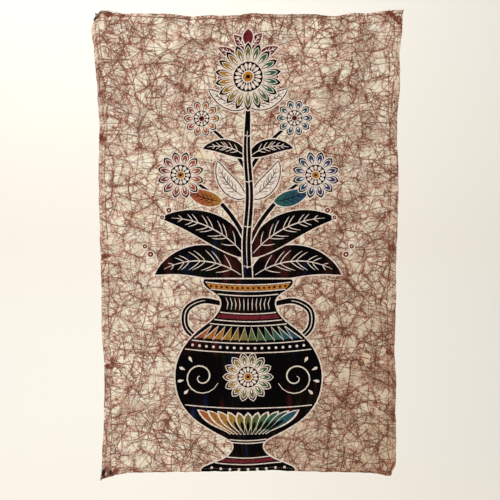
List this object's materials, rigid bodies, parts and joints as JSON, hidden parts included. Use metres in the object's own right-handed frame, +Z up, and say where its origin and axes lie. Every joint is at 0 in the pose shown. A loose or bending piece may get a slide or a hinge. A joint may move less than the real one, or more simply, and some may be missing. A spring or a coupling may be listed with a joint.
{
  "type": "batik wall hanging",
  "caption": "Hemmed cotton batik panel that hangs flat by its top edge as a wall decoration.",
  "frame": {"origin": "middle of the top edge, on the wall plane that the cloth's two top corners lie against", "axes": "+Z up, the cloth faces -Y, its back looks along +Y at the wall, +X to the right as seen from the front"},
  "size_m": [0.6116, 0.015, 0.9411],
  "materials": {
    "batik_cotton": "matt plain-weave cotton, wax-resist dyed: cream ground under red-brown crackle, with a black and rainbow-dyed plant motif"
  },
  "bodies": {
    "root": {"batik_cloth": "batik_cotton"}
  },
  "joints": []
}
